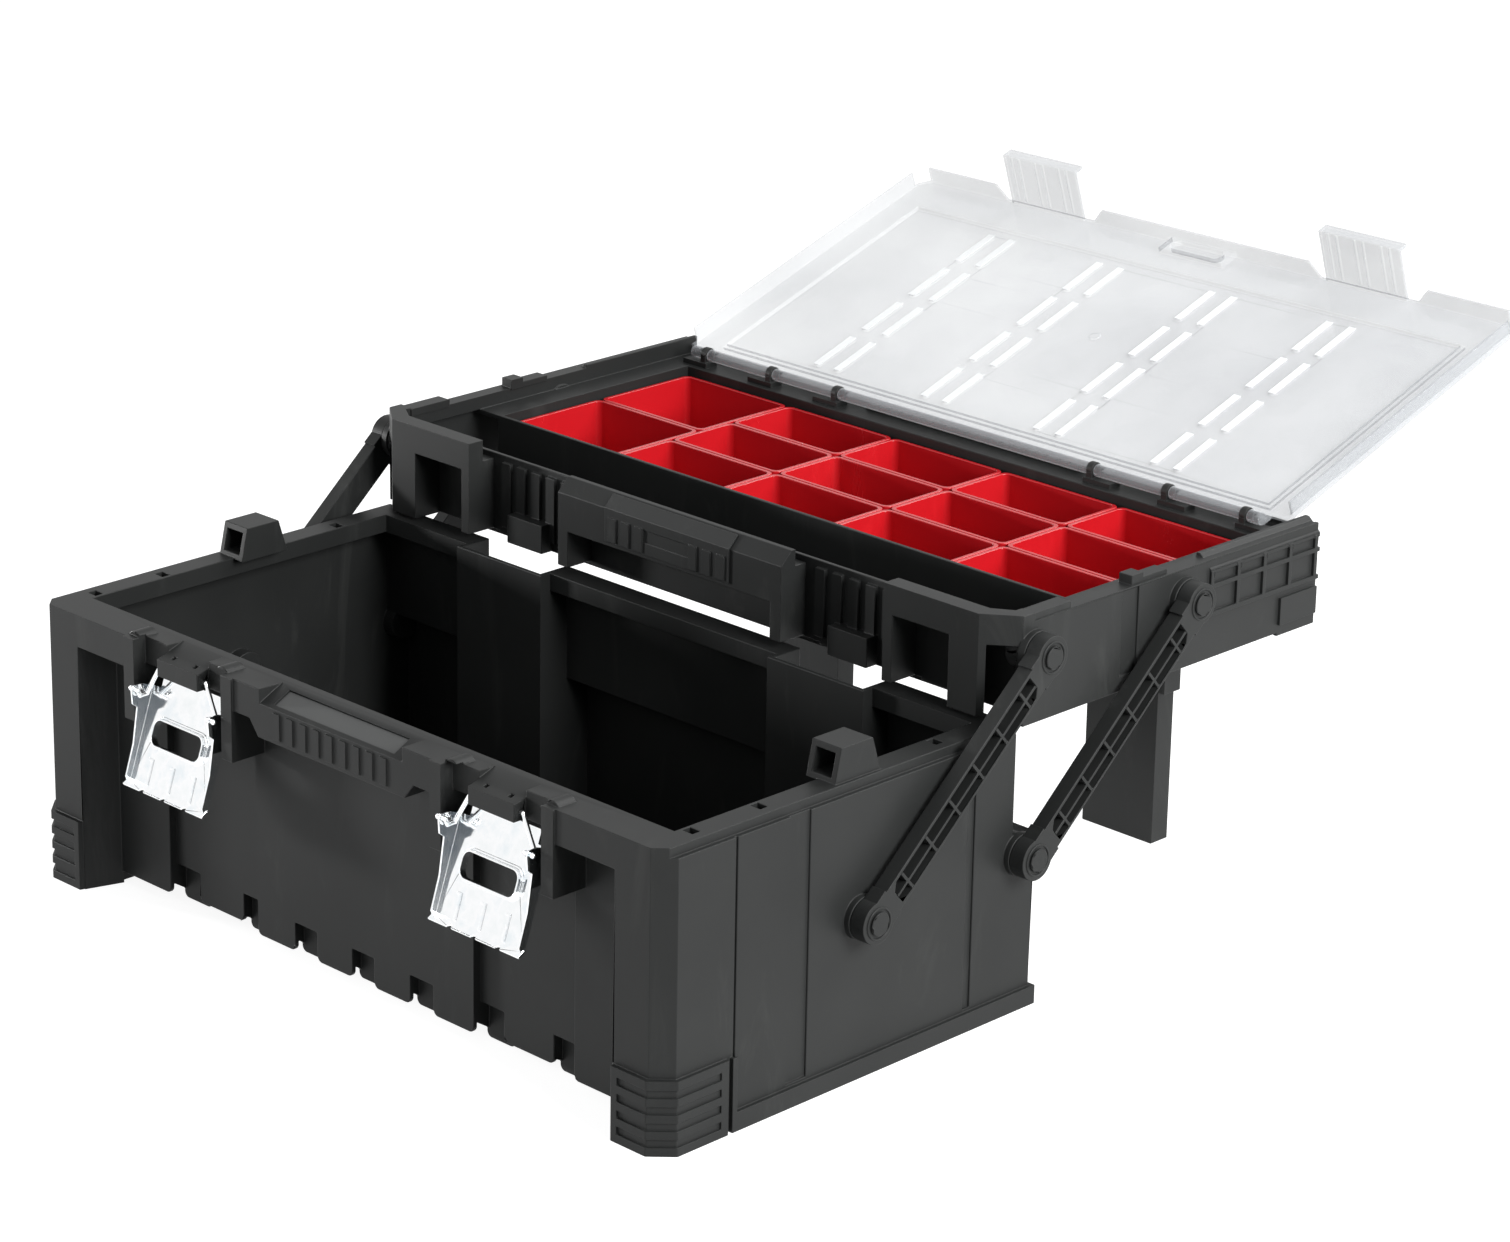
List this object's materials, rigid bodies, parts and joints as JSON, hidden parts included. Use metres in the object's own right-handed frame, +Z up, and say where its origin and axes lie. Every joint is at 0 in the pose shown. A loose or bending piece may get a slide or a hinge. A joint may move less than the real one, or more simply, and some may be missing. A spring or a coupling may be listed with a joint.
{
  "type": "cantilever tool box",
  "caption": "Deep plastic tool box whose organiser tray with removable red bins and a clear hinged lid swings back on parallel arms onto two legs; two wire-bail draw latches close it.",
  "frame": {"origin": "centre of the flat underside of the base tub, on the floor that the box stands on", "axes": "+Z up, +X along the length of the box to its right-hand end, +Y from the latches towards the rear"},
  "size_m": [0.5936, 0.8113, 0.3638],
  "materials": {
    "black_plastic": "black polypropylene, fine spark-eroded texture, satin sheen",
    "grip_plastic": "black polypropylene, ribbed",
    "grey_plastic": "dark grey plain plate, smooth satin",
    "red_plastic": "red polypropylene, semi-gloss",
    "clear_plastic": "clear polycarbonate, polished",
    "zinc_plated_steel": "bright zinc-plated pressed steel and wire"
  },
  "bodies": {
    "base": {"base_tub": "black_plastic", "front_plate": "grey_plastic", "base_pivot_pins": "black_plastic"},
    "arm_rear_right": {"arm_rear_right": "black_plastic"},
    "arm_rear_left": {"arm_rear_left": "black_plastic"},
    "arm_front_right": {"arm_front_right": "black_plastic"},
    "arm_front_left": {"arm_front_left": "black_plastic"},
    "tray": {"tray_shell": "black_plastic", "carry_handle": "black_plastic", "handle_grip": "grip_plastic", "tray_pivot_pins": "black_plastic", "leg_left": "black_plastic", "leg_right": "black_plastic"},
    "lid": {"lid": "clear_plastic"},
    "latch_wire_left": {"latch_wire_left": "zinc_plated_steel"},
    "latch_lever_left": {"latch_lever_left": "zinc_plated_steel"},
    "latch_wire_right": {"latch_wire_right": "zinc_plated_steel"},
    "latch_lever_right": {"latch_lever_right": "zinc_plated_steel"},
    "bin_1_front": {"bin_1_front": "red_plastic"},
    "bin_1_rear": {"bin_1_rear": "red_plastic"},
    "bin_2_front": {"bin_2_front": "red_plastic"},
    "bin_2_middle": {"bin_2_middle": "red_plastic"},
    "bin_2_rear": {"bin_2_rear": "red_plastic"},
    "bin_3_front": {"bin_3_front": "red_plastic"},
    "bin_3_middle": {"bin_3_middle": "red_plastic"},
    "bin_3_rear": {"bin_3_rear": "red_plastic"},
    "bin_4_front": {"bin_4_front": "red_plastic"},
    "bin_4_middle": {"bin_4_middle": "red_plastic"},
    "bin_4_rear": {"bin_4_rear": "red_plastic"},
    "bin_5_front": {"bin_5_front": "red_plastic"},
    "bin_5_middle": {"bin_5_middle": "red_plastic"},
    "bin_5_rear": {"bin_5_rear": "red_plastic"}
  },
  "joints": [
    {"name": "fold", "type": "hinge", "parent": "base", "child": "arm_rear_right", "pos_m": [0.29, 0.1385, 0.101], "axis": [-1, 0, 0], "range_deg": [-97.8, 0]},
    {"name": "fold_rear_left", "type": "hinge", "parent": "base", "child": "arm_rear_left", "pos_m": [-0.29, 0.1385, 0.101], "axis": [-1, 0, 0], "range_deg": [-97.8, 0]},
    {"name": "fold_front_right", "type": "hinge", "parent": "base", "child": "arm_front_right", "pos_m": [0.29, 0.002, 0.101], "axis": [-1, 0, 0], "range_deg": [-97.8, 0]},
    {"name": "fold_front_left", "type": "hinge", "parent": "base", "child": "arm_front_left", "pos_m": [-0.29, 0.002, 0.101], "axis": [-1, 0, 0], "range_deg": [-97.8, 0]},
    {"name": "tray_level", "type": "hinge", "parent": "arm_rear_right", "child": "tray", "pos_m": [0.29, 0.28205, 0.22623], "axis": [-1, 0, 0], "range_deg": [0, 97.8]},
    {"name": "lid_hinge", "type": "hinge", "parent": "tray", "child": "lid", "pos_m": [0, 0.393, 0.2444], "axis": [-1, 0, 0], "range_deg": [-161.5, 0]},
    {"name": "latch_left_swing", "type": "hinge", "parent": "base", "child": "latch_wire_left", "pos_m": [-0.141, -0.151, 0.1715], "axis": [1, 0, 0], "range_deg": [-158.1, 0]},
    {"name": "latch_left_lever", "type": "hinge", "parent": "latch_wire_left", "child": "latch_lever_left", "pos_m": [-0.141, -0.1602, 0.154], "axis": [1, 0, 0], "range_deg": [-3.1, 0]},
    {"name": "latch_right_swing", "type": "hinge", "parent": "base", "child": "latch_wire_right", "pos_m": [0.141, -0.151, 0.1715], "axis": [1, 0, 0], "range_deg": [-158.1, 0]},
    {"name": "latch_right_lever", "type": "hinge", "parent": "latch_wire_right", "child": "latch_lever_right", "pos_m": [0.141, -0.1602, 0.154], "axis": [1, 0, 0], "range_deg": [-3.1, 0]},
    {"name": "bin_1_front_lift", "type": "slide", "parent": "tray", "child": "bin_1_front", "axis": [0, 0, 1], "range_m": [0, 0.07]},
    {"name": "bin_1_rear_lift", "type": "slide", "parent": "tray", "child": "bin_1_rear", "axis": [0, 0, 1], "range_m": [0, 0.07]},
    {"name": "bin_2_front_lift", "type": "slide", "parent": "tray", "child": "bin_2_front", "axis": [0, 0, 1], "range_m": [0, 0.07]},
    {"name": "bin_2_middle_lift", "type": "slide", "parent": "tray", "child": "bin_2_middle", "axis": [0, 0, 1], "range_m": [0, 0.07]},
    {"name": "bin_2_rear_lift", "type": "slide", "parent": "tray", "child": "bin_2_rear", "axis": [0, 0, 1], "range_m": [0, 0.07]},
    {"name": "bin_3_front_lift", "type": "slide", "parent": "tray", "child": "bin_3_front", "axis": [0, 0, 1], "range_m": [0, 0.07]},
    {"name": "bin_3_middle_lift", "type": "slide", "parent": "tray", "child": "bin_3_middle", "axis": [0, 0, 1], "range_m": [0, 0.07]},
    {"name": "bin_3_rear_lift", "type": "slide", "parent": "tray", "child": "bin_3_rear", "axis": [0, 0, 1], "range_m": [0, 0.07]},
    {"name": "bin_4_front_lift", "type": "slide", "parent": "tray", "child": "bin_4_front", "axis": [0, 0, 1], "range_m": [0, 0.07]},
    {"name": "bin_4_middle_lift", "type": "slide", "parent": "tray", "child": "bin_4_middle", "axis": [0, 0, 1], "range_m": [0, 0.07]},
    {"name": "bin_4_rear_lift", "type": "slide", "parent": "tray", "child": "bin_4_rear", "axis": [0, 0, 1], "range_m": [0, 0.07]},
    {"name": "bin_5_front_lift", "type": "slide", "parent": "tray", "child": "bin_5_front", "axis": [0, 0, 1], "range_m": [0, 0.07]},
    {"name": "bin_5_middle_lift", "type": "slide", "parent": "tray", "child": "bin_5_middle", "axis": [0, 0, 1], "range_m": [0, 0.07]},
    {"name": "bin_5_rear_lift", "type": "slide", "parent": "tray", "child": "bin_5_rear", "axis": [0, 0, 1], "range_m": [0, 0.07]}
  ],
  "couplings": [
    {"joint": "fold_rear_left", "follows": "fold", "ratio": 1},
    {"joint": "fold_front_right", "follows": "fold", "ratio": 1},
    {"joint": "fold_front_left", "follows": "fold", "ratio": 1},
    {"joint": "tray_level", "follows": "fold", "ratio": -1},
    {"joint": "latch_left_lever", "follows": "latch_left_swing", "ratio": 0.019608},
    {"joint": "latch_right_lever", "follows": "latch_right_swing", "ratio": 0.019608}
  ]
}
